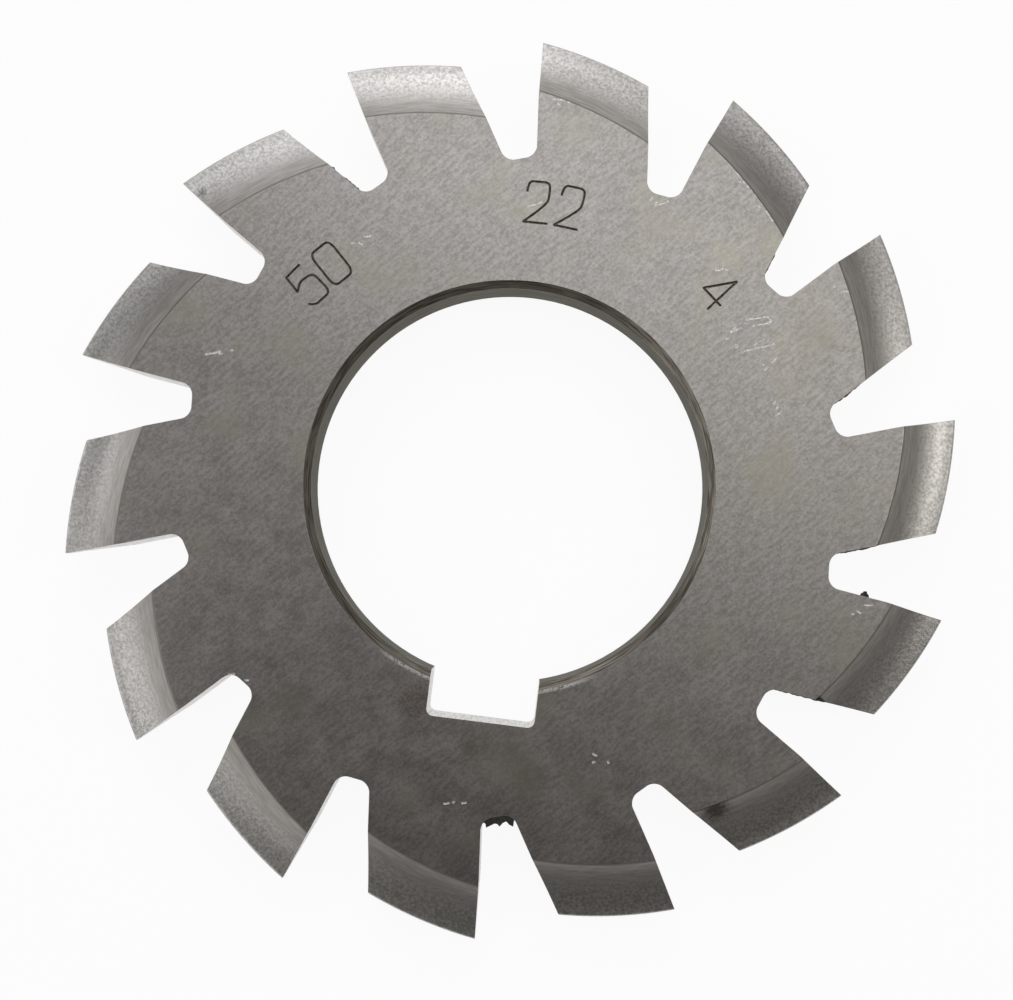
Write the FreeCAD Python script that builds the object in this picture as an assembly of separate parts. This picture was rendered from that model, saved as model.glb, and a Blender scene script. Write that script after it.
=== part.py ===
import FreeCAD, Part
import math
import os

# Involute gear cutter, lying on its lower side face, with its axis on Z and its keyway towards -Y.
# Lengths are in millimetres and angles in degrees.

# Blank
outer_diameter = 50.5
width = 4.0
bore_diameter = 22.0
bore_chamfer = 0.4

# Keyway, with its floor measured from the axis
keyway_width = 6.0
keyway_reach = 13.1
keyway_round = 0.4
# From the cutting edge beside the keyway to the keyway's middle, clockwise seen from above
keyway_turn = 2.7

# Gear that the teeth cut: the one with the fewest teeth of the cutter's range
module = 1.0
gear_teeth = 35
pressure_angle = 20.0
# Depth of the gear's root below its pitch circle, in modules
dedendum = 1.25
tip_round = 0.2

# Teeth and gullets
tooth_count = 14
# Fall of the form behind the cutting face over one tooth pitch
relief_fall = 2.2
# Depth of a gullet below the cutting edges, to the middle of its floor
gullet_depth = 7.05
# Floor between the feet of the cutting face and of the back of the tooth ahead, with a round at each
floor_width = 1.76
gullet_round = 0.7
# The cutting face is ground on a radius down to this depth, and stands back from it at the gullet's foot
face_depth = 3.5
face_relief = 0.14
# Between the cutting face and the back of the tooth ahead of it
gullet_angle = 28.2

# Construction values that leave no trace on the finished cutter
overrun = 1.0
form_lead = 0.8
form_tail = 2.0
flank_points = 9

# Derived sizes
tip_radius = outer_diameter / 2
middle = width / 2
bore_radius = bore_diameter / 2
tooth_pitch = 360.0 / tooth_count
gullet_floor = tip_radius - gullet_depth
core_radius = gullet_floor + gullet_round / 2
pitch_radius = module * gear_teeth / 2
base_radius = pitch_radius * math.cos(math.radians(pressure_angle))
root_radius = pitch_radius - dedendum * module
# The form of each tooth is turned about an axis of its own, set off square to the tooth's middle
relief_offset = relief_fall / math.radians(tooth_pitch)
relief_direction = math.radians(90 - tooth_pitch / 3)

axis = FreeCAD.Vector(0, 0, 1)
centre = FreeCAD.Vector(0, 0, 0)
relief_centre = FreeCAD.Vector(
    relief_offset * math.cos(relief_direction),
    relief_offset * math.sin(relief_direction),
    0,
)


def involute(angle):
    """Involute function of an angle in radians."""
    return math.tan(angle) - angle


def slope_to_radius(gear_radius):
    """Angle between the gear's flank and its own radius; zero inside the base circle."""
    return math.acos(min(1.0, base_radius / gear_radius))


def space_half_angle(gear_radius):
    """Half the angle that a tooth space of the gear spans at a radius."""
    at_pitch = math.pi / (2 * gear_teeth) - involute(math.radians(pressure_angle))
    return at_pitch + involute(slope_to_radius(gear_radius))


def form_at(gear_radius):
    """Half-width of the cutter's form and its depth below the tip, for a radius of the gear."""
    angle = space_half_angle(gear_radius)
    return gear_radius * math.sin(angle), gear_radius * math.cos(angle) - root_radius


def bisect(misses, low, high):
    """Radius between low and high where a rising function passes zero."""
    for step in range(60):
        trial = (low + high) / 2
        if misses(trial) < 0:
            low = trial
        else:
            high = trial
    return (low + high) / 2


def tip_round_centre(gear_radius):
    """Centre of a tip round that touches the flank at a radius of the gear."""
    half, depth = form_at(gear_radius)
    lean = space_half_angle(gear_radius) + slope_to_radius(gear_radius)
    return half - tip_round * math.cos(lean), depth + tip_round * math.sin(lean)


def section_point(half, depth):
    """Point that meets the cutting face at a depth of the form, in a plane through the relief axis."""
    reach = math.hypot(tip_radius - depth - relief_centre.x, relief_centre.y)
    return relief_centre + FreeCAD.Vector(reach, 0, middle + half)


def form_section():
    """Section of one tooth that gives its cutting face the form of the gear's tooth space."""
    first = bisect(lambda r: tip_round_centre(r)[1] - tip_round, root_radius, root_radius + module)
    # The flanks run on past the side faces and are trimmed there
    far_half = middle + overrun / 2
    last = bisect(lambda r: form_at(r)[0] - far_half, first, first + width + 4 * module)
    radii = [first + (last - first) * i / (flank_points - 1) for i in range(flank_points)]
    flank = [form_at(r) for r in radii]
    land_half = tip_round_centre(first)[0]
    corner = math.sqrt(0.5) * tip_round
    inner = tip_radius - gullet_floor + overrun
    edges = []
    for side in (-1, 1):
        points = [section_point(side * half, depth) for half, depth in flank]
        spline = Part.BSplineCurve()
        spline.interpolate(points)
        corner_point = section_point(side * (land_half + corner), tip_round - corner)
        land_point = section_point(side * land_half, 0)
        foot = section_point(side * far_half, inner)
        edges.append(spline.toShape())
        edges.append(Part.Arc(points[0], corner_point, land_point).toShape())
        edges.append(Part.makeLine(points[-1], foot))
    edges.append(Part.makeLine(section_point(-land_half, 0), section_point(land_half, 0)))
    edges.append(Part.makeLine(section_point(-far_half, inner), section_point(far_half, inner)))
    return Part.Face(Part.Wire(Part.__sortEdges__(edges)))


def tooth():
    """Form-relieved tooth: behind the cutting face its section moves in towards the axis."""
    section = form_section()
    edge_angle = -math.degrees(math.atan2(relief_centre.y, tip_radius - relief_centre.x))
    section.rotate(relief_centre, axis, edge_angle + form_lead)
    form = section.revolve(relief_centre, axis, -(tooth_pitch - form_tail + form_lead))
    return form.common(Part.makeCylinder(tip_radius + overrun, width))


def gullet():
    """Prism that leaves the cutting face, which lies on a radius, the floor and the back of the tooth ahead."""
    reach = tip_radius + overrun
    # The floor is square to the middle line between the face and the back
    lean = math.radians(gullet_angle / 2)
    rise = math.tan(math.radians(gullet_angle))
    face_foot = FreeCAD.Vector(gullet_floor + floor_width / 2 * math.sin(lean), -face_relief, 0)
    back_foot = face_foot + FreeCAD.Vector(-floor_width * math.sin(lean), floor_width * math.cos(lean), 0)
    face_top = FreeCAD.Vector(reach, 0, 0)
    outline = Part.makePolygon([
        face_top,
        FreeCAD.Vector(tip_radius - face_depth, 0, 0),
        face_foot,
        back_foot,
        FreeCAD.Vector(reach, back_foot.y + (reach - back_foot.x) * rise, 0),
        face_top,
    ])
    prism = Part.Face(outline).extrude(FreeCAD.Vector(0, 0, width + 2 * overrun))
    feet = [
        edge
        for edge in prism.Edges
        if edge.BoundBox.ZLength > width and edge.BoundBox.XMax < gullet_floor + floor_width / 2
    ]
    rounded = prism.makeFillet(gullet_round, feet)
    rounded.translate(FreeCAD.Vector(0, 0, -overrun))
    return rounded


def around(shape):
    """Copies of a shape at every tooth, the first cutting edge lying beside the keyway."""
    copies = []
    for i in range(tooth_count):
        copy = shape.copy()
        copy.rotate(centre, axis, -90 + keyway_turn + i * tooth_pitch)
        copies.append(copy)
    return copies


def bore():
    """Bore with a chamfer at each side face."""
    outline = Part.makePolygon([
        FreeCAD.Vector(0, 0, -overrun),
        FreeCAD.Vector(bore_radius + bore_chamfer + overrun, 0, -overrun),
        FreeCAD.Vector(bore_radius, 0, bore_chamfer),
        FreeCAD.Vector(bore_radius, 0, width - bore_chamfer),
        FreeCAD.Vector(bore_radius + bore_chamfer + overrun, 0, width + overrun),
        FreeCAD.Vector(0, 0, width + overrun),
        FreeCAD.Vector(0, 0, -overrun),
    ])
    return Part.Face(outline).revolve(centre, axis, 360)


def keyway():
    """Slot from the bore with rounded inner corners."""
    slot = Part.makeBox(
        keyway_width,
        keyway_reach,
        width + 2 * overrun,
        FreeCAD.Vector(-keyway_width / 2, -keyway_reach, -overrun),
    )
    corners = [
        edge
        for edge in slot.Edges
        if edge.BoundBox.ZLength > width and edge.BoundBox.YMax < -keyway_reach / 2
    ]
    return slot.makeFillet(keyway_round, corners)


def cutter():
    core = Part.makeCylinder(core_radius, width)
    blank = core.multiFuse(around(tooth()))
    body = blank.cut(around(gullet()) + [bore(), keyway()])
    return body.removeSplitter()


os.makedirs("parts", exist_ok=True)
shape = cutter()
solid = shape.Solids[0]
print("solids", len(shape.Solids), "valid", solid.isValid(), "volume", round(solid.Volume, 2), "mm3")
solid.exportStep("parts/gear_cutter.step")
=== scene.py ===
import bpy
import bmesh
import math
import random
from mathutils import Matrix, Vector


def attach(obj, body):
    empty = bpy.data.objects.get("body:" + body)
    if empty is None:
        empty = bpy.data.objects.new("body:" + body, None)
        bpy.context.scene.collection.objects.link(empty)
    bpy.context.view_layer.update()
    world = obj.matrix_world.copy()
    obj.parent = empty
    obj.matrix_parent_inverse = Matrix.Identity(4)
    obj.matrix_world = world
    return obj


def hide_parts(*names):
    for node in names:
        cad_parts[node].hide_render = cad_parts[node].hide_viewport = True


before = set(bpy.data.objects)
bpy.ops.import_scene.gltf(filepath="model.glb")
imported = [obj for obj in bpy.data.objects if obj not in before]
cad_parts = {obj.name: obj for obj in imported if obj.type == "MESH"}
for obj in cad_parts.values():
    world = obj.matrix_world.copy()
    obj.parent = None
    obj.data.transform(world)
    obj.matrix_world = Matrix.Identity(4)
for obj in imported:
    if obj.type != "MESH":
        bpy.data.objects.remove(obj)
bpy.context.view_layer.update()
print("frame loaded")

mm = 0.001
zAxis = Vector((0, 0, 1))
origin = Vector((0, 0, 0))
overrun = 1.0                      # how far a cutting shape runs past what it cuts, mm

# The cutter is modelled in millimetres and scaled to metres when it is finished.
# Places round the cutter are in degrees, clockwise from the side opposite the keyway.
blank = dict(
    radius=25.25,
    spare=0.35,                    # stock left round the rim before the flanks are cut
    rimSteps=180,
    width=4.0,
    bore=11.0,
    boreChamfer=0.4,
    boreSteps=120,
    keyWidth=6.0,
    keyReach=13.1,
    keyRound=0.4,
    keySteps=8,
    edgeBreak=0.03,
    sharpEdge=24,                  # edges that turn more than this many degrees are broken
)
gear = dict(
    module=1.0,
    teeth=35,
    pressureAngle=20.0,
    dedendum=1.25,
    tipRound=0.2,
)
teeth = dict(
    count=14,
    firstEdge=-87.3,               # angle of the cutting edge beside the keyway, from the x axis
    relief=2.2,                    # fall of the form over one pitch
    gulletDepth=7.05,
    floorWidth=1.76,
    gulletRound=0.7,
    gulletSteps=10,
    gulletAngle=28.2,
    faceDepth=3.5,
    faceRelief=0.14,
    flankSteps=22,
    roundSteps=5,
    clear=2.6,                     # how far the swept tool reaches outside the tips
    sweep=20.8,                    # degrees that the form runs behind the cutting face
    lead=0.8,                      # and before it
    sweepSteps=26,
)

# One material slot for each way in which the steel was worked
slots = [
    "groundFace", "formTurned", "groundGullet", "boreWall", "boreChamfer", "brokenEdge", "engraving",
    "scratch",
]


def slotOf(name):
    return slots.index(name)


def aroundCutter(radius, clockwise, height=0.0):
    turn = math.radians(clockwise)
    return Vector((radius * math.sin(turn), radius * math.cos(turn), height))


def meshObject(bm, name, slot=0):
    for face in bm.faces:
        face.material_index = slot
    mesh = bpy.data.meshes.new(name)
    bm.to_mesh(mesh)
    bm.free()
    made = bpy.data.objects.new(name, mesh)
    bpy.context.scene.collection.objects.link(made)
    return made


def copyAround(bm, count, pitch):
    first = bm.verts[:] + bm.edges[:] + bm.faces[:]
    for i in range(1, count):
        copied = bmesh.ops.duplicate(bm, geom=first)["geom"]
        corners = [part for part in copied if isinstance(part, bmesh.types.BMVert)]
        turn = Matrix.Rotation(math.radians(i * pitch), 3, "Z")
        bmesh.ops.rotate(bm, verts=corners, cent=origin, matrix=turn)


def shapedMesh(piece):
    # The mesh of an object with its modifiers and curve settings applied
    bpy.context.view_layer.update()
    return bpy.data.meshes.new_from_object(piece.evaluated_get(bpy.context.evaluated_depsgraph_get()))


def cutAway(target, tool, selfCrossing=False):
    # Both need every slot, or the cut would put all faces in the first one
    for piece in (target, tool):
        for slot in range(len(slots) - len(piece.data.materials)):
            piece.data.materials.append(None)
    cut = target.modifiers.new("cut", "BOOLEAN")
    cut.operation = "DIFFERENCE"
    cut.solver = "EXACT"
    cut.use_self = selfCrossing
    cut.material_mode = "INDEX"
    cut.object = tool
    shaped = shapedMesh(target)
    target.modifiers.clear()
    old = target.data
    target.data = shaped
    bpy.data.meshes.remove(old)
    bpy.data.objects.remove(tool)


# The gear's tooth space, as half its width and its depth below the cutter's tip
pitchRadius = gear["module"] * gear["teeth"] / 2
baseRadius = pitchRadius * math.cos(math.radians(gear["pressureAngle"]))
rootRadius = pitchRadius - gear["dedendum"] * gear["module"]


def slopeAt(radius):
    return math.acos(min(1.0, baseRadius / radius))


def spaceAngle(radius):
    def involute(angle):
        return math.tan(angle) - angle
    atPitch = math.pi / (2 * gear["teeth"]) - involute(math.radians(gear["pressureAngle"]))
    return atPitch + involute(slopeAt(radius))


def formAt(radius):
    return radius * math.sin(spaceAngle(radius)), radius * math.cos(spaceAngle(radius)) - rootRadius


def roundCentre(radius):
    half, depth = formAt(radius)
    lean = spaceAngle(radius) + slopeAt(radius)
    return half - gear["tipRound"] * math.cos(lean), depth + gear["tipRound"] * math.sin(lean)


def whereZero(rises, low, high):
    for step in range(50):
        trial = (low + high) / 2
        if rises(trial) < 0:
            low = trial
        else:
            high = trial
    return (low + high) / 2


def halfForm():
    tip = gear["tipRound"]
    first = whereZero(lambda r: roundCentre(r)[1] - tip, rootRadius, rootRadius + gear["module"])
    farHalf = (blank["width"] + overrun) / 2
    last = whereZero(lambda r: formAt(r)[0] - farHalf, first, first + 8 * gear["module"])
    landHalf = roundCentre(first)[0]
    lean = spaceAngle(first) + slopeAt(first)
    points = []
    for i in range(teeth["roundSteps"]):
        turn = (math.pi / 2 - lean) * i / teeth["roundSteps"]
        points.append((landHalf + tip * math.sin(turn), tip - tip * math.cos(turn)))
    for i in range(teeth["flankSteps"] + 1):
        points.append(formAt(first + (last - first) * i / teeth["flankSteps"]))
    return points


# Each tooth's form is turned about an axis of its own, so it falls away behind the cutting face
pitch = 360 / teeth["count"]
reliefOffset = teeth["relief"] / math.radians(pitch)
reliefTurn = math.radians(90 - pitch / 3)
reliefCentre = Vector((reliefOffset * math.cos(reliefTurn), reliefOffset * math.sin(reliefTurn), 0))


def formPoint(half, depth):
    reach = math.hypot(blank["radius"] - depth - reliefCentre.x, reliefCentre.y)
    return reliefCentre + Vector((reach, 0, blank["width"] / 2 + half))


def flankTool():
    # What lies outside the form of one tooth, swept about the tooth's relief axis
    bm = bmesh.new()
    side = halfForm()
    outline = [formPoint(half, depth) for half, depth in reversed(side)]
    outline += [formPoint(-half, depth) for half, depth in side]
    farHalf = side[-1][0]
    outline += [formPoint(-farHalf, -teeth["clear"]), formPoint(farHalf, -teeth["clear"])]
    face = bm.faces.new([bm.verts.new(point) for point in outline])
    edgeTurn = -math.atan2(reliefCentre.y, blank["radius"] - reliefCentre.x)
    start = Matrix.Rotation(edgeTurn + math.radians(teeth["lead"]), 3, "Z")
    bmesh.ops.rotate(bm, verts=bm.verts[:], cent=reliefCentre, matrix=start)
    bmesh.ops.spin(
        bm, geom=[face] + face.edges[:] + face.verts[:], cent=reliefCentre, axis=zAxis,
        angle=-math.radians(teeth["sweep"] + teeth["lead"]), steps=teeth["sweepSteps"],
        use_merge=False, use_duplicate=False)
    bmesh.ops.recalc_face_normals(bm, faces=bm.faces[:])
    return bm


# A gullet beside a cutting edge on the x axis: the cutting face lies on a radius, and the floor is
# square to the middle line of the gullet
gulletLean = math.radians(teeth["gulletAngle"] / 2)
gulletFloor = blank["radius"] - teeth["gulletDepth"]
faceTop = Vector((blank["radius"] - teeth["faceDepth"], 0, 0))
faceFoot = Vector((gulletFloor + teeth["floorWidth"] / 2 * math.sin(gulletLean), -teeth["faceRelief"], 0))
backFoot = faceFoot + teeth["floorWidth"] * Vector((-math.sin(gulletLean), math.cos(gulletLean), 0))
backTurn = math.radians(teeth["gulletAngle"])


def prismFrom(bm, outline, bottom, height):
    face = bm.faces.new([bm.verts.new(Vector((point.x, point.y, bottom))) for point in outline])
    risen = bmesh.ops.extrude_face_region(bm, geom=[face])["geom"]
    corners = [part for part in risen if isinstance(part, bmesh.types.BMVert)]
    bmesh.ops.translate(bm, verts=corners, vec=(0, 0, height))
    return corners


def gulletTool():
    bm = bmesh.new()
    reach = blank["radius"] + overrun
    backTop = Vector((reach, backFoot.y + (reach - backFoot.x) * math.tan(backTurn), 0))
    outline = [Vector((reach, 0, 0)), faceTop, faceFoot, backFoot, backTop]
    prismFrom(bm, outline, -overrun, blank["width"] + 2 * overrun)
    bmesh.ops.recalc_face_normals(bm, faces=bm.faces[:])
    for foot in (faceFoot, backFoot):
        upright = [e for e in bm.edges if all((v.co.xy - foot.xy).length < 0.001 for v in e.verts)]
        corner = (math.pi - upright[0].calc_face_angle()) / 2
        bmesh.ops.bevel(
            bm, geom=upright, offset=teeth["gulletRound"] / math.tan(corner), offset_type="OFFSET",
            segments=teeth["gulletSteps"], profile=0.5, affect="EDGES", material=-1)
    return bm


def toTooth(number):
    # Tooth 0 is the one beside the keyway, and the numbers run anticlockwise
    return Matrix.Rotation(math.radians(teeth["firstEdge"] + number * pitch), 3, "Z")


def allRound(bm, name):
    bmesh.ops.rotate(bm, verts=bm.verts[:], cent=origin, matrix=toTooth(0))
    copyAround(bm, teeth["count"], pitch)
    return meshObject(bm, name)


def boreTool():
    bm = bmesh.new()
    wide = blank["bore"] + blank["boreChamfer"] + overrun
    top = blank["width"]
    line = [
        (0, -overrun), (wide, -overrun), (blank["bore"], blank["boreChamfer"]),
        (blank["bore"], top - blank["boreChamfer"]), (wide, top + overrun), (0, top + overrun),
    ]
    points = [bm.verts.new((x, 0, z)) for x, z in line]
    rim = [bm.edges.new(pair) for pair in zip(points, points[1:])]
    bmesh.ops.spin(
        bm, geom=points + rim, cent=origin, axis=zAxis, angle=2 * math.pi,
        steps=blank["boreSteps"], use_merge=True)
    bmesh.ops.remove_doubles(bm, verts=bm.verts[:], dist=0.0001)
    bmesh.ops.recalc_face_normals(bm, faces=bm.faces[:])
    return meshObject(bm, "bore")


def keyTool():
    bm = bmesh.new()
    bmesh.ops.create_cube(bm, size=1)
    size = (blank["keyWidth"], blank["keyReach"], blank["width"] + 2 * overrun)
    bmesh.ops.scale(bm, verts=bm.verts[:], vec=size)
    bmesh.ops.translate(bm, verts=bm.verts[:], vec=(0, -blank["keyReach"] / 2, blank["width"] / 2))
    corners = [e for e in bm.edges if all(v.co.y < -blank["keyReach"] + 0.01 for v in e.verts)
               and abs(e.verts[0].co.z - e.verts[1].co.z) > 1]
    bmesh.ops.bevel(
        bm, geom=corners, offset=blank["keyRound"], offset_type="OFFSET", segments=blank["keySteps"],
        profile=0.5, affect="EDGES", material=-1)
    return meshObject(bm, "keyway")


def zoneOf(face):
    # Which machining left this face
    centre = face.calc_center_median()
    radius = math.hypot(centre.x, centre.y)
    tilt = abs(face.normal.z)
    if tilt > 0.999:
        return slotOf("groundFace")
    # The keyway's walls are beside the bore too, but they are ground like the gullets
    pastKey = abs(centre.x) > blank["keyWidth"] / 2 + 0.001
    inBore = radius < blank["bore"] + blank["boreChamfer"] + 0.1 and pastKey
    acrossFromKey = radius < blank["keyReach"] + 0.5 and centre.y > 0
    if inBore or acrossFromKey:
        return slotOf("boreChamfer" if tilt > 0.3 else "boreWall")
    outward = (face.normal.x * centre.x + face.normal.y * centre.y) / radius
    if tilt > 0.05 or outward > 0.9 and radius > blank["radius"] - 2:
        return slotOf("formTurned")
    return slotOf("groundGullet")


def makeBody():
    bm = bmesh.new()
    bmesh.ops.create_circle(
        bm, cap_ends=True, segments=blank["rimSteps"], radius=blank["radius"] + blank["spare"])
    risen = bmesh.ops.extrude_face_region(bm, geom=bm.faces[:])["geom"]
    corners = [part for part in risen if isinstance(part, bmesh.types.BMVert)]
    bmesh.ops.translate(bm, verts=corners, vec=(0, 0, blank["width"]))
    bmesh.ops.recalc_face_normals(bm, faces=bm.faces[:])
    body = meshObject(bm, "cutter_body")
    cutters = [allRound(gulletTool(), "gullets"), allRound(flankTool(), "flanks"), boreTool(), keyTool()]
    for tool in cutters:
        cutAway(body, tool)
    bm = bmesh.new()
    bm.from_mesh(body.data)
    bmesh.ops.remove_doubles(bm, verts=bm.verts[:], dist=0.0005)
    bmesh.ops.dissolve_limit(bm, angle_limit=math.radians(0.05), verts=bm.verts[:], edges=bm.edges[:])
    for face in bm.faces:
        face.material_index = zoneOf(face)
    turn = math.radians(blank["sharpEdge"])
    sharp = [e for e in bm.edges if len(e.link_faces) == 2 and e.calc_face_angle() > turn]
    broken = bmesh.ops.bevel(
        bm, geom=sharp, offset=blank["edgeBreak"], offset_type="OFFSET", segments=1,
        profile=0.5, affect="EDGES", clamp_overlap=True, material=-1)
    for face in broken["faces"]:
        face.material_index = slotOf("brokenEdge")
    bm.to_mesh(body.data)
    bm.free()
    return body


body = makeBody()
print("body cut,", len(body.data.polygons), "faces")

# Plain size figures, engraved with a round-nosed point: diameter, bore and width.
# Strokes are drawn in a box 0.6 wide and 1 high; a point given twice is a corner.
figures = dict(
    ring=15.8,
    height=2.25,
    spacing=1.85,
    lineWidth=0.15,
    lineDepth=0.045,
    places=[("50", 311), ("22", 2), ("4", 40)],
    strokes={
        "0": (True, [(0.3, 1), (0.6, 1), (0.6, 0.5), (0.6, 0), (0.3, 0), (0, 0), (0, 0.5), (0, 1)]),
        "2": (False, [(0.03, 0.75), (0.03, 1.02), (0.3, 1.02), (0.58, 1.02), (0.58, 0.72), (0.56, 0.5),
                      (0, 0), (0, 0), (0.6, 0)]),
        "4": (False, [(0.45, 0), (0.45, 1), (0.45, 1), (0, 0.3), (0, 0.3), (0.62, 0.3)]),
        "5": (False, [(0.55, 1), (0.08, 1), (0.08, 1), (0.03, 0.55), (0.03, 0.55), (0.2, 0.66), (0.3, 0.68),
                      (0.62, 0.62), (0.62, 0.3), (0.6, -0.02), (0.3, 0), (0.12, 0), (0, 0.15)]),
    },
)


def figureTool():
    # Round strokes whose lower part reaches into the face
    sunk = (figures["lineWidth"] / 2) ** 2 / figures["lineDepth"]
    curve = bpy.data.curves.new("figures", "CURVE")
    curve.dimensions = "3D"
    curve.bevel_depth = (sunk + figures["lineDepth"]) / 2
    curve.bevel_resolution = 2
    curve.resolution_u = 8
    curve.use_fill_caps = True
    height = figures["height"]
    for text, clockwise in figures["places"]:
        for i, figure in enumerate(text):
            turn = clockwise + math.degrees(figures["spacing"] / figures["ring"]) * (i - (len(text) - 1) / 2)
            middle = aroundCutter(figures["ring"], turn, blank["width"] + (sunk - figures["lineDepth"]) / 2)
            across, up = aroundCutter(height, turn + 90), aroundCutter(height, turn)
            closed, points = figures["strokes"][figure]
            spline = curve.splines.new("NURBS")
            spline.points.add(len(points) - 1)
            for point, (x, y) in zip(spline.points, points):
                point.co = (middle + (x - 0.3) * across + (y - 0.5) * up).to_4d()
            spline.order_u = 3
            spline.use_cyclic_u = closed
            spline.use_endpoint_u = not closed
    drawn = bpy.data.objects.new("figures", curve)
    bpy.context.scene.collection.objects.link(drawn)
    bm = bmesh.new()
    bm.from_mesh(shapedMesh(drawn))
    bpy.data.objects.remove(drawn)
    bmesh.ops.remove_doubles(bm, verts=bm.verts[:], dist=0.0001)
    bmesh.ops.recalc_face_normals(bm, faces=bm.faces[:])
    return meshObject(bm, "figure_strokes", slotOf("engraving"))


# Bright scratches on the upper face, listed as x, y, length and angle from the x axis.
# Short knocks lie scattered round each of them.
scratches = dict(
    width=0.12,
    depth=0.01,
    above=0.01,                    # how far the cutting point stands out of the face
    marks=[
        (12.5, 10.9, 1.3, 15), (12.8, 10.6, 1.1, 19), (11.4, 10.1, 0.7, 30), (13.1, 9.4, 1.1, 20),
        (12.3, 9.1, 0.7, 18), (13.7, 8.7, 0.5, 52), (14.3, 5.8, 0.5, 42), (10.1, 13.3, 0.5, 20),
        (-0.5, 15.7, 0.9, 24), (6.5, 16.6, 0.8, 23), (-17.2, 5.3, 0.9, 19), (-9.5, 12.8, 0.4, 15),
        (0.2, 21.7, 0.9, 5), (12.5, 16.6, 0.7, 127), (11.0, 18.2, 0.5, 140), (17.4, 13.0, 0.8, 12),
        (20.4, -4.1, 0.5, 9), (6.5, -14.1, 0.3, 160), (-0.3, -17.6, 0.3, 17), (-13.9, -12.2, 0.4, 10),
    ],
    seed=4,
    knocks=2,                      # round each scratch
    scatter=0.8,
    knockLength=0.25,
)


def scratchTool():
    # A slim upside-down pyramid with four sides for each mark, deepest in its middle
    bm = bmesh.new()
    above = scratches["above"]
    grown = 1 + above / scratches["depth"]
    eighthTurn = Matrix.Rotation(math.pi / 4, 4, "Z")      # sets the four sides along the mark
    chance = random.Random(scratches["seed"])
    marks = list(scratches["marks"])
    for x, y, length, turn in scratches["marks"]:
        for i in range(scratches["knocks"]):
            aside, along = chance.uniform(-1, 1), chance.uniform(-1, 1)
            angle = math.radians(turn)
            x += scratches["scatter"] * (along * math.cos(angle) - 0.5 * aside * math.sin(angle))
            y += scratches["scatter"] * (along * math.sin(angle) + 0.5 * aside * math.cos(angle))
            marks.append((x, y, scratches["knockLength"] * chance.uniform(0.6, 1.4), turn + 40 * aside))
    for x, y, length, turn in marks:
        size = Matrix.Diagonal((scratches["width"] * grown, length * grown, scratches["depth"] + above, 1))
        place = Matrix.Translation((x, y, blank["width"] + (above - scratches["depth"]) / 2))
        turned = Matrix.Rotation(math.radians(turn - 90), 4, "Z")
        bmesh.ops.create_cone(
            bm, cap_ends=True, cap_tris=False, segments=4, radius1=0, radius2=math.sqrt(0.5), depth=1,
            matrix=place @ turned @ size @ eighthTurn)
    bmesh.ops.remove_doubles(bm, verts=bm.verts[:], dist=0.0001)
    bmesh.ops.recalc_face_normals(bm, faces=bm.faces[:])
    return meshObject(bm, "scratch_points", slotOf("scratch"))


cutAway(body, figureTool(), selfCrossing=True)
cutAway(body, scratchTool(), selfCrossing=True)
print("figures and scratches cut,", len(body.data.polygons), "faces")

# Burrs and scale along the gullets' upper edges
burrs = dict(
    seed=11,
    top=3.985,
    height=0.3,
    step=0.12,
    root=0.08,
    # gullet by tooth number, from and to along its back, greatest width
    backs=[
        (5, 0.3, 1.6, 0.07), (4, 0.4, 2.3, 0.09), (3, 0.3, 2.75, 0.09), (2, 0.3, 3.2, 0.06),
        (8, 0.3, 1.6, 0.09), (8, 2.2, 2.45, 0.15),
    ],
    # beside a cutting edge that lies on the x axis: a torn flake, and the scale across the gullet's floor
    flakeTooth=3,
    flake=[(20.26, -0.08), (20.3, 0.1), (20.36, 0.07), (20.4, 0.22), (20.52, 0.25), (20.58, 0.12),
           (20.66, 0.1), (20.74, -0.08)],
    scaleTooth=0,
    scale=[(18.1, 1.7), (18.66, 1.66), (18.6, 1.5), (18.55, 1.4), (18.43, 1.3), (18.42, 1.22), (18.5, 1.08),
           (18.6, 1.0), (18.7, 0.93), (18.68, 0.87), (18.6, 0.8), (18.57, 0.7), (18.58, 0.6), (18.65, 0.5),
           (18.7, 0.4), (18.82, 0.2), (18.8, 0.17), (18.65, 0.14), (18.6, 0.1), (18.5, -0.2), (18.2, -0.1),
           (17.95, 0.8)],
)


def makeBurrs():
    bm = bmesh.new()
    chance = random.Random(burrs["seed"])
    along = Vector((math.cos(backTurn), math.sin(backTurn), 0))
    off = Vector((math.sin(backTurn), -math.cos(backTurn), 0))
    outlines = [(burrs["flakeTooth"], burrs["flake"]), (burrs["scaleTooth"], burrs["scale"])]
    for tooth, start, end, width in burrs["backs"]:
        steps = round((end - start) / burrs["step"])
        wall = [backFoot + along * (start + (end - start) * i / steps) for i in range(steps + 1)]
        tears = [0] + [chance.uniform(0.15, 1) for i in range(1, steps)] + [0]
        torn = [(point + off * width * tear).xy for point, tear in zip(wall, tears)]
        outlines.append((tooth, torn + [(point - off * burrs["root"]).xy for point in reversed(wall)]))
    for tooth, outline in outlines:
        points = [toTooth(tooth) @ Vector((*point, 0)) for point in outline]
        prismFrom(bm, points, burrs["top"] - burrs["height"], burrs["height"])
    bmesh.ops.recalc_face_normals(bm, faces=bm.faces[:])
    return meshObject(bm, "edge_burrs")


edgeBurrs = makeBurrs()
print("burrs made")


def linearColour(hexValue):
    def channel(value):
        value /= 255
        return value / 12.92 if value <= 0.04045 else ((value + 0.055) / 1.055) ** 2.4
    return [channel(int(hexValue[i:i + 2], 16)) for i in (1, 3, 5)] + [1.0]


def perMetre(size):
    # Texture scale for a pattern whose features are this many millimetres apart
    return 1 / (size * mm)


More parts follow.
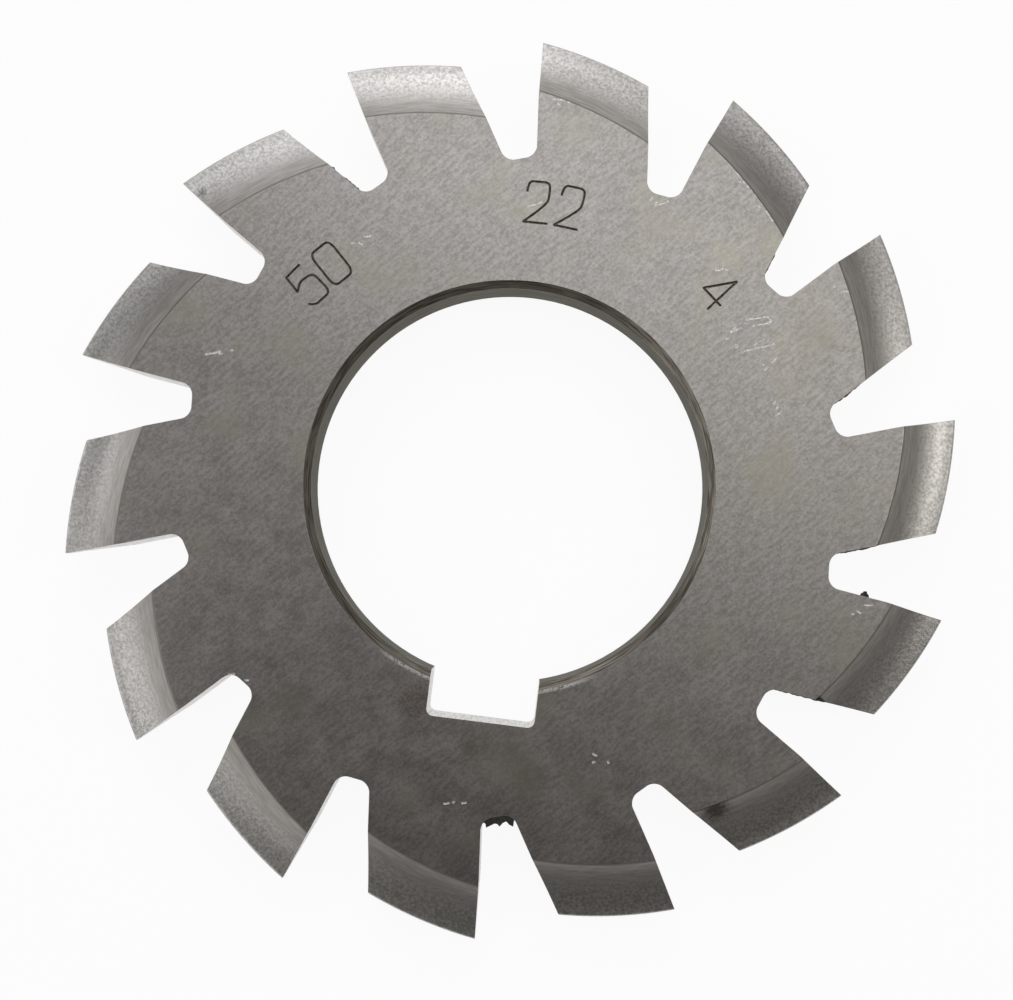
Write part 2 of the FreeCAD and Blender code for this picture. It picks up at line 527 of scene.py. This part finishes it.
def addNode(tree, kind, settings=None, **sockets):
    # Sockets go by name, with _ for a space, or by place as i0, i1. A pair (node, output) is a link,
    # and a string is an sRGB colour.
    node = tree.nodes.new(kind)
    for name, value in (settings or {}).items():
        setattr(node, name, value)
    for name, value in sockets.items():
        byPlace = name[0] == "i" and name[1:].isdigit()
        socket = node.inputs[int(name[1:])] if byPlace else node.inputs[name.replace("_", " ")]
        if isinstance(value, tuple) and isinstance(value[0], bpy.types.Node):
            tree.links.new(value[0].outputs[value[1]], socket)
        else:
            socket.default_value = linearColour(value) if isinstance(value, str) else value
    return node


def newMaterial(name):
    material = bpy.data.materials.new(name)
    material.use_nodes = True
    material.node_tree.nodes.clear()
    return material, material.node_tree


noise = "ShaderNodeTexNoise"
maths = "ShaderNodeMath"
ramp = "ShaderNodeMapRange"
smooth = dict(interpolation_type="SMOOTHSTEP")
colours = dict(data_type="RGBA")


def closeSteel(tree, colour, roughness, relief=None, height=0.0, edgeTint="#ffffff"):
    # Steel as a metal with the default IOR; height is the depth of the finest relief in millimetres
    shader = addNode(
        tree, "ShaderNodeBsdfPrincipled", Base_Color=colour, Metallic=1.0, Roughness=roughness,
        Specular_Tint=edgeTint)
    if relief:
        bump = addNode(tree, "ShaderNodeBump", Strength=1.0, Distance=height * mm, Height=relief)
        tree.links.new(bump.outputs["Normal"], shader.inputs["Normal"])
    addNode(tree, "ShaderNodeOutputMaterial", Surface=(shader, "BSDF"))


# Surface-ground high-speed steel: the wheel leaves a matt warm grey with a fine diagonal hatch, and
# handling and oil have left it mottled and faintly yellow in patches.
# Sizes in millimetres. The grit's own marks are ten times finer and are drawn coarse enough to show.
groundFinish = dict(
    dark="#827e79", light="#9c9895", stain="#918e80",
    grain=0.15, hatch=0.2, hatchAngle=47, hatchLength=3.5, mottle=1.7, mottleShare=0.22, stainPatch=4.2,
    toneFrom=0.81, toneTo=1.41, roughness=0.30, roughest=0.36, relief=0.0022,
    freckle="#6b5245", frecklePlace=(-3.8, -12.3, 4.0), freckleReach=1.4, freckleCore=0.4,
    # The painted highlight round the bore's chamfer: its colour, the radii it lies between, and the y over
    # which it fades in near the keyway
    paintedHighlight="#e0dcd8", highlightOuter=11.64, highlightInner=11.5, highlightFrom=-9.6, highlightTo=-10.6,
)


def groundSteel():
    look = groundFinish
    material, tree = newMaterial("surface_ground_tool_steel")
    place = addNode(tree, "ShaderNodeTexCoord"), "Object"
    hatched = addNode(
        tree, "ShaderNodeMapping", dict(vector_type="TEXTURE"), Vector=place,
        Rotation=(0, 0, math.radians(look["hatchAngle"])), Scale=(look["hatchLength"], 1, 1))
    grain = addNode(tree, noise, Vector=place, Scale=perMetre(look["grain"]), Detail=2.0, Roughness=0.6)
    hatch = addNode(
        tree, noise, Vector=(hatched, 0), Scale=perMetre(look["hatch"]), Detail=3.0, Roughness=0.6)
    mottle = addNode(tree, noise, Vector=place, Scale=perMetre(look["mottle"]), Detail=3.0, Roughness=0.6)
    patches = addNode(tree, noise, Vector=place, Scale=perMetre(look["stainPatch"]), Detail=1.5)
    texture = addNode(tree, maths, dict(operation="ADD"), i0=(grain, 0), i1=(hatch, 0))
    mixed = addNode(
        tree, maths, dict(operation="MULTIPLY_ADD"), i0=(mottle, 0), i1=look["mottleShare"], i2=(texture, 0))
    share = addNode(tree, ramp, smooth, Value=(mixed, 0), From_Min=look["toneFrom"], From_Max=look["toneTo"])
    colour = addNode(tree, "ShaderNodeMix", colours, i0=(share, 0), i6=look["dark"], i7=look["light"])
    stained = addNode(tree, ramp, smooth, Value=(patches, 0), From_Min=0.5, From_Max=0.72, To_Max=0.5)
    colour = addNode(tree, "ShaderNodeMix", colours, i0=(stained, 0), i6=(colour, 2), i7=look["stain"])
    # Rust freckles beside the keyway
    away = addNode(
        tree, "ShaderNodeVectorMath", dict(operation="DISTANCE"), i0=place,
        i1=[value * mm for value in look["frecklePlace"]])
    near = addNode(
        tree, ramp, smooth, Value=(away, "Value"), From_Min=look["freckleReach"] * mm,
        From_Max=look["freckleCore"] * mm, To_Max=0.14)
    rusty = addNode(tree, maths, dict(operation="ADD"), i0=(near, 0), i1=(grain, 0))
    rusty = addNode(tree, ramp, smooth, Value=(rusty, 0), From_Min=0.58, From_Max=0.7, To_Max=0.6)
    onlyNear = addNode(tree, maths, dict(operation="GREATER_THAN"), i0=(near, 0), i1=0.0)
    rusty = addNode(tree, maths, dict(operation="MULTIPLY"), i0=(rusty, 0), i1=(onlyNear, 0))
    colour = addNode(tree, "ShaderNodeMix", colours, i0=(rusty, 0), i6=(colour, 2), i7=look["freckle"])
    # A painted highlight: a bright line on the face round the bore's chamfer near the keyway
    axes = addNode(tree, "ShaderNodeSeparateXYZ", Vector=place)
    flat = addNode(tree, "ShaderNodeCombineXYZ", X=(axes, 0), Y=(axes, 1))
    radius = addNode(tree, "ShaderNodeVectorMath", dict(operation="LENGTH"), i0=(flat, 0))
    paintedHighlight = addNode(
        tree, ramp, smooth, Value=(radius, "Value"), From_Min=look["highlightOuter"] * mm,
        From_Max=look["highlightInner"] * mm)
    nearKey = addNode(
        tree, ramp, smooth, Value=(axes, 1), From_Min=look["highlightFrom"] * mm, From_Max=look["highlightTo"] * mm)
    broken = addNode(tree, ramp, smooth, Value=(grain, 0), From_Min=0.36, From_Max=0.5)
    paintedHighlight = addNode(tree, maths, dict(operation="MULTIPLY"), i0=(paintedHighlight, 0), i1=(nearKey, 0))
    paintedHighlight = addNode(tree, maths, dict(operation="MULTIPLY"), i0=(paintedHighlight, 0), i1=(broken, 0))
    colour = addNode(tree, "ShaderNodeMix", colours, i0=(paintedHighlight, 0), i6=(colour, 2), i7=look["paintedHighlight"])
    roughness = addNode(
        tree, ramp, Value=(mottle, 0), From_Min=0.3, From_Max=0.7, To_Min=look["roughness"],
        To_Max=look["roughest"])
    closeSteel(tree, (colour, 2), (roughness, 0), (texture, 0), look["relief"])
    return material


# Form-turned and relieved high-speed steel: low on the flank the tool left it smooth and darker, near
# the tip it tore the steel, which is lighter and granular. Heights are from the middle plane.
formFinish = dict(
    dark="#88847f", light="#9b9793", tornDark="#9b9893", tornLight="#c5c2bf", line="#57534d",
    torn=0.17, toolMark=0.07, markStretch=16, roughness=0.40,
    tornRelief=0.012, markRelief=0.0006, smoothFrom=1.6, tornFrom=0.6,
    # rimFrom, rimTo, tipFrom and tipTo place the painted shade lines, whose colour is line
    rimFrom=1.88, rimTo=1.97, tipFrom=0.44, tipTo=0.36,
    blotch="#2e2a22", blotches=[((13.5, -16.4, 4.0), 1.1), ((-19.25, 14.4, 3.0), 0.45)],
)


def formTurnedSteel():
    look = formFinish
    material, tree = newMaterial("form_turned_tool_steel")
    place = addNode(tree, "ShaderNodeTexCoord"), "Object"
    axes = addNode(tree, "ShaderNodeSeparateXYZ", Vector=place)
    fromMiddle = addNode(tree, maths, dict(operation="SUBTRACT"), i0=(axes, 2), i1=blank["width"] / 2 * mm)
    fromMiddle = addNode(tree, maths, dict(operation="ABSOLUTE"), i0=(fromMiddle, 0))
    tornHere = addNode(
        tree, ramp, smooth, Value=(fromMiddle, 0), From_Min=look["smoothFrom"] * mm,
        From_Max=look["tornFrom"] * mm)
    torn = addNode(tree, noise, Vector=place, Scale=perMetre(look["torn"]), Detail=2.0, Roughness=0.7)
    # Tool marks run round the form, so they change mostly with the height on the flank
    drawn = addNode(
        tree, "ShaderNodeMapping", dict(vector_type="TEXTURE"), Vector=place,
        Scale=(look["markStretch"], look["markStretch"], 1))
    marks = addNode(
        tree, noise, Vector=(drawn, 0), Scale=perMetre(look["toolMark"]), Detail=2.0, Roughness=0.6)
    tornRelief = addNode(tree, maths, dict(operation="MULTIPLY"), i0=(torn, 0), i1=(tornHere, 0))
    relief = addNode(
        tree, maths, dict(operation="MULTIPLY_ADD"), i0=(tornRelief, 0),
        i1=look["tornRelief"] / look["markRelief"], i2=(marks, 0))
    markShare = addNode(tree, ramp, smooth, Value=(marks, 0), From_Min=0.3, From_Max=0.7)
    tornShare = addNode(tree, ramp, smooth, Value=(torn, 0), From_Min=0.3, From_Max=0.7)
    low = addNode(tree, "ShaderNodeMix", colours, i0=(markShare, 0), i6=look["dark"], i7=look["light"])
    high = addNode(
        tree, "ShaderNodeMix", colours, i0=(tornShare, 0), i6=look["tornDark"], i7=look["tornLight"])
    colour = addNode(tree, "ShaderNodeMix", colours, i0=(tornHere, 0), i6=(low, 2), i7=(high, 2))
    # Painted shade: darker lines where the flank meets the side face and along the tip
    rim = addNode(
        tree, ramp, smooth, Value=(fromMiddle, 0), From_Min=look["rimFrom"] * mm, From_Max=look["rimTo"] * mm,
        To_Max=0.7)
    tip = addNode(
        tree, ramp, smooth, Value=(fromMiddle, 0), From_Min=look["tipFrom"] * mm, From_Max=look["tipTo"] * mm,
        To_Max=0.7)
    paintedShadeLines = addNode(tree, maths, dict(operation="MAXIMUM"), i0=(rim, 0), i1=(tip, 0))
    colour = addNode(tree, "ShaderNodeMix", colours, i0=(paintedShadeLines, 0), i6=(colour, 2), i7=look["line"])
    # Burnt oil at one heel, and a dent near another tooth's tip
    for centre, size in look["blotches"]:
        away = addNode(
            tree, "ShaderNodeVectorMath", dict(operation="DISTANCE"), i0=place,
            i1=[value * mm for value in centre])
        away = addNode(
            tree, maths, dict(operation="MULTIPLY_ADD"), i0=(torn, 0), i1=0.7 * size * mm, i2=(away, "Value"))
        blotched = addNode(
            tree, ramp, smooth, Value=(away, 0), From_Min=1.4 * size * mm, From_Max=0.6 * size * mm,
            To_Max=0.85)
        colour = addNode(tree, "ShaderNodeMix", colours, i0=(blotched, 0), i6=(colour, 2), i7=look["blotch"])
    closeSteel(tree, (colour, 2), look["roughness"], (relief, 0), look["markRelief"])
    return material


# Ground cutting faces and gullet walls: the wheel ran across the width and left upright stripes
gulletFinish = dict(
    name="ground_gullet_steel", dark="#b1ada9", light="#d4d1cd", spacing=0.12, stretch=(1, 1, 12),
    roughness=0.24, roughest=0.36, relief=0.0015, edgeTint="#ffffff",
)
# Scribed figures: the torn bottoms of the grooves hold oil and dirt, which makes them dark brown-grey
engravedFinish = dict(
    name="engraved_tool_steel", dark="#38342c", light="#625c50", spacing=0.1, stretch=(1, 1, 1),
    roughness=0.45, roughest=0.6, relief=0.006, edgeTint="#807c76",
)
# Fresh scratches: bare bright steel without the film that dulls the ground face
scratchFinish = dict(
    name="scratched_tool_steel", dark="#b0aca8", light="#dad7d3", spacing=0.12, stretch=(1, 1, 1),
    roughness=0.45, roughest=0.6, relief=0.002, edgeTint="#ffffff",
)
# Edges broken with a stone: thin lines, whose colour is darkened as painted shade along the edges
edgeFinishAndShade = dict(
    name="stoned_edge_steel_and_painted_shade", dark="#6b6763", light="#9d9995", spacing=0.35, stretch=(1, 1, 1),
    roughness=0.25, roughest=0.4, relief=0.001, edgeTint="#ffffff",
)


def workedSteel(look):
    material, tree = newMaterial(look["name"])
    place = addNode(tree, "ShaderNodeTexCoord"), "Object"
    drawn = addNode(
        tree, "ShaderNodeMapping", dict(vector_type="TEXTURE"), Vector=place, Scale=look["stretch"])
    marks = addNode(
        tree, noise, Vector=(drawn, 0), Scale=perMetre(look["spacing"]), Detail=3.0, Roughness=0.65)
    share = addNode(tree, ramp, smooth, Value=(marks, 0), From_Min=0.32, From_Max=0.68)
    colour = addNode(tree, "ShaderNodeMix", colours, i0=(share, 0), i6=look["dark"], i7=look["light"])
    roughness = addNode(tree, ramp, Value=(share, 0), To_Min=look["roughest"], To_Max=look["roughness"])
    closeSteel(tree, (colour, 2), (roughness, 0), (marks, 0), look["relief"], look["edgeTint"])
    return material


# Bore and chamfers: turned before hardening and never ground bright, with the tool's rings left on them.
# Their dark colours and dim edge tints paint the shade in the bore: the wall is seen at a grazing angle,
# where the dim tint keeps it from shining.
wallFinishAndShade = dict(
    name="bore_steel_and_painted_shade", dark="#73716c", light="#8f8d88", ring=0.1, along=0.05,
    roughness=0.36, roughest=0.5, relief=0.002, edgeTint="#93918c",
)
chamferFinishAndShade = dict(
    name="chamfer_steel_and_painted_shade", dark="#48443d", light="#857f76", ring=0.085, along=0.05,
    roughness=0.3, roughest=0.42, relief=0.003, edgeTint="#a09d96",
)


def ringedSteel(look):
    # The pattern reads the radius plus the height, so that its rings run round both cone and wall, and a
    # small share of x and y, so that they change slowly along their way
    material, tree = newMaterial(look["name"])
    place = addNode(tree, "ShaderNodeTexCoord"), "Object"
    axes = addNode(tree, "ShaderNodeSeparateXYZ", Vector=place)
    flat = addNode(tree, "ShaderNodeCombineXYZ", X=(axes, 0), Y=(axes, 1))
    radius = addNode(tree, "ShaderNodeVectorMath", dict(operation="LENGTH"), i0=(flat, 0))
    level = addNode(tree, maths, dict(operation="ADD"), i0=(radius, "Value"), i1=(axes, 2))
    slow = addNode(tree, "ShaderNodeVectorMath", dict(operation="SCALE"), i0=(flat, 0), Scale=look["along"])
    slowAxes = addNode(tree, "ShaderNodeSeparateXYZ", Vector=(slow, 0))
    point = addNode(tree, "ShaderNodeCombineXYZ", X=(slowAxes, 0), Y=(slowAxes, 1), Z=(level, 0))
    rings = addNode(tree, noise, Vector=(point, 0), Scale=perMetre(look["ring"]), Detail=2.5, Roughness=0.6)
    share = addNode(tree, ramp, smooth, Value=(rings, 0), From_Min=0.34, From_Max=0.66)
    colour = addNode(tree, "ShaderNodeMix", colours, i0=(share, 0), i6=look["dark"], i7=look["light"])
    roughness = addNode(tree, ramp, Value=(share, 0), To_Min=look["roughest"], To_Max=look["roughness"])
    closeSteel(tree, (colour, 2), (roughness, 0), (rings, 0), look["relief"], look["edgeTint"])
    return material


# Heat scale and burrs: an almost black, dull oxide crust
scaleFinish = dict(dark="#0f0e0c", light="#3b382f", grain=0.09, roughness=0.7, relief=0.01)


def blackScale():
    look = scaleFinish
    material, tree = newMaterial("black_oxide_scale")
    place = addNode(tree, "ShaderNodeTexCoord"), "Object"
    grain = addNode(tree, noise, Vector=place, Scale=perMetre(look["grain"]), Detail=2.0, Roughness=0.6)
    share = addNode(tree, ramp, smooth, Value=(grain, 0), From_Min=0.45, From_Max=0.75)
    colour = addNode(tree, "ShaderNodeMix", colours, i0=(share, 0), i6=look["dark"], i7=look["light"])
    bump = addNode(tree, "ShaderNodeBump", Strength=1.0, Distance=look["relief"] * mm, Height=(grain, 0))
    shader = addNode(
        tree, "ShaderNodeBsdfPrincipled", Base_Color=(colour, 2), Roughness=look["roughness"],
        Normal=(bump, 0))
    addNode(tree, "ShaderNodeOutputMaterial", Surface=(shader, "BSDF"))
    return material


finishes = dict(
    groundFace=groundSteel(),
    formTurned=formTurnedSteel(),
    groundGullet=workedSteel(gulletFinish),
    boreWall=ringedSteel(wallFinishAndShade),
    boreChamfer=ringedSteel(chamferFinishAndShade),
    brokenEdge=workedSteel(edgeFinishAndShade),
    engraving=workedSteel(engravedFinish),
    scratch=workedSteel(scratchFinish),
)


# Flat shading keeps the small cuts in the side faces from bending the light on them
flatSlots = [slotOf("groundFace"), slotOf("scratch")]
smoothUpTo = 12                    # degrees between faces that are shaded as one


def finishPiece(piece, materials):
    piece.data.transform(Matrix.Scale(mm, 4))
    slotOfFace = [face.material_index for face in piece.data.polygons]
    piece.data.materials.clear()
    for material in materials:
        piece.data.materials.append(material)
    for face, index in zip(piece.data.polygons, slotOfFace):
        face.material_index = index
        face.use_smooth = True
    piece.data.set_sharp_from_angle(angle=math.radians(smoothUpTo))
    for face in piece.data.polygons:
        face.use_smooth = face.material_index not in flatSlots
    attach(piece, "root")


finishPiece(body, [finishes[name] for name in slots])
finishPiece(edgeBurrs, [blackScale()])
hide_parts("gear_cutter")
print("pieces finished")

# A round white table that rises into a low backdrop, which fades into the dim room above it
stage = dict(
    radius=2.0,
    sides=96,
    gap=0.02,                      # between the cutter and the table, mm
    fadeFrom=0.05,                 # height in metres over which the backdrop fades
    fadeTo=0.3,
    colour="#f4f4f2",
    white=0.93,                    # share of plain white that camera, glossy and transmission rays see
)


def makeStage():
    bm = bmesh.new()
    bmesh.ops.create_circle(bm, cap_ends=True, segments=stage["sides"], radius=stage["radius"])
    risen = bmesh.ops.extrude_edge_only(bm, edges=bm.edges[:])["geom"]
    rim = [part for part in risen if isinstance(part, bmesh.types.BMVert)]
    bmesh.ops.translate(bm, verts=rim, vec=(0, 0, stage["fadeTo"]))
    bmesh.ops.translate(bm, verts=bm.verts[:], vec=(0, 0, -stage["gap"] * mm))
    floor = meshObject(bm, "table_and_backdrop")
    material, tree = newMaterial("white_table")
    path = addNode(tree, "ShaderNodeLightPath")
    seen = addNode(
        tree, maths, dict(operation="MAXIMUM"), i0=(path, "Is Camera Ray"), i1=(path, "Is Glossy Ray"))
    seen = addNode(tree, maths, dict(operation="MAXIMUM"), i0=(seen, 0), i1=(path, "Is Transmission Ray"))
    place = addNode(tree, "ShaderNodeTexCoord"), "Object"
    axes = addNode(tree, "ShaderNodeSeparateXYZ", Vector=place)
    faded = addNode(
        tree, ramp, smooth, Value=(axes, 2), From_Min=stage["fadeTo"], From_Max=stage["fadeFrom"],
        To_Max=stage["white"])
    share = addNode(tree, maths, dict(operation="MULTIPLY"), i0=(seen, 0), i1=(faded, 0))
    matt = addNode(tree, "ShaderNodeBsdfDiffuse", Color=stage["colour"])
    white = addNode(tree, "ShaderNodeEmission", Strength=1.0)
    mixed = addNode(tree, "ShaderNodeMixShader", Fac=(share, 0), i1=(matt, 0), i2=(white, 0))
    addNode(tree, "ShaderNodeOutputMaterial", Surface=(mixed, 0))
    floor.data.materials.append(material)


makeStage()

# Soft boxes on rings round the cutter, turned to its middle. The side towards the window is a little
# cooler and the room a little warmer than white.
studio = dict(
    lowest=0.085,                  # height of the lowest box, metres
    windowSide=320,
    windowTint=0.02,
    room=0.1,                      # brightness of the room behind the boxes
    roomColour="#fffaf3",
    # distance, tilt from overhead, size of a box, then the clockwise place of each box and its brightness
    rings=[
        (0.3, 30, 0.11, {0: 0.7, 60: 1.0, 270: 1.4, 330: 1.1}),
        (0.3, 50, 0.11, {0: 3.2, 30: 1.2, 90: 4.0, 330: 2.3}),
        (0.6, 16, 0.20, {0: 2.1, 60: 1.8}),
        (0.6, 45, 0.20, {255: 2.1}),
        (0.6, 60, 0.24, {0: 1.0, 75: 0.8, 255: 1.0}),
        (0.6, 75, 0.24, {0: 2.3, 25: 1.4, 230: 1.2, 255: 1.3, 285: 2.3, 335: 1.9}),
    ],
)

# The camera's place in millimetres and its turn in degrees
view = dict(place=(1.821, -4.451, 103.888), turn=(2.1996, 0.7994, 7.0715), lens=64.361)


def makeLamp(name, distance, clockwise, tilt, size, radiance):
    light = bpy.data.lights.new(name, "AREA")
    light.shape = "DISK"
    light.size = size
    light.energy = radiance * math.pi * math.pi * (size / 2) ** 2
    tint = studio["windowTint"] * math.cos(math.radians(clockwise - studio["windowSide"]))
    light.color = (1 - tint, 1, 1 + 2 * tint)
    lamp = bpy.data.objects.new(name, light)
    lean = math.radians(tilt)
    direction = aroundCutter(math.sin(lean), clockwise - view["turn"][2], math.cos(lean))
    lamp.location = direction * distance
    lamp.location.z = max(lamp.location.z, studio["lowest"])
    lamp.rotation_euler = direction.to_track_quat("Z", "Y").to_euler()
    lamp.visible_camera = False
    bpy.context.scene.collection.objects.link(lamp)


for distance, tilt, size, boxes in studio["rings"]:
    for clockwise, radiance in boxes.items():
        makeLamp("soft_box_%d_%d" % (tilt, clockwise), distance, clockwise, tilt, size, radiance)

world = bpy.data.worlds.new("studio_room")
world.use_nodes = True
tree = world.node_tree
tree.nodes.clear()
room = addNode(tree, "ShaderNodeBackground", Color=studio["roomColour"], Strength=studio["room"])
addNode(tree, "ShaderNodeOutputWorld", Surface=(room, 0))
bpy.context.scene.world = world

cameraData = bpy.data.cameras.new("camera")
cameraData.lens = view["lens"]
cameraData.sensor_width = 36
cameraData.sensor_fit = "HORIZONTAL"
cameraData.clip_start = 0.005
camera = bpy.data.objects.new("camera", cameraData)
camera.location = [value * mm for value in view["place"]]
camera.rotation_euler = [math.radians(value) for value in view["turn"]]
bpy.context.scene.collection.objects.link(camera)
bpy.context.scene.camera = camera
bpy.context.scene.view_settings.view_transform = "Standard"
print("floor, lamps and camera set")
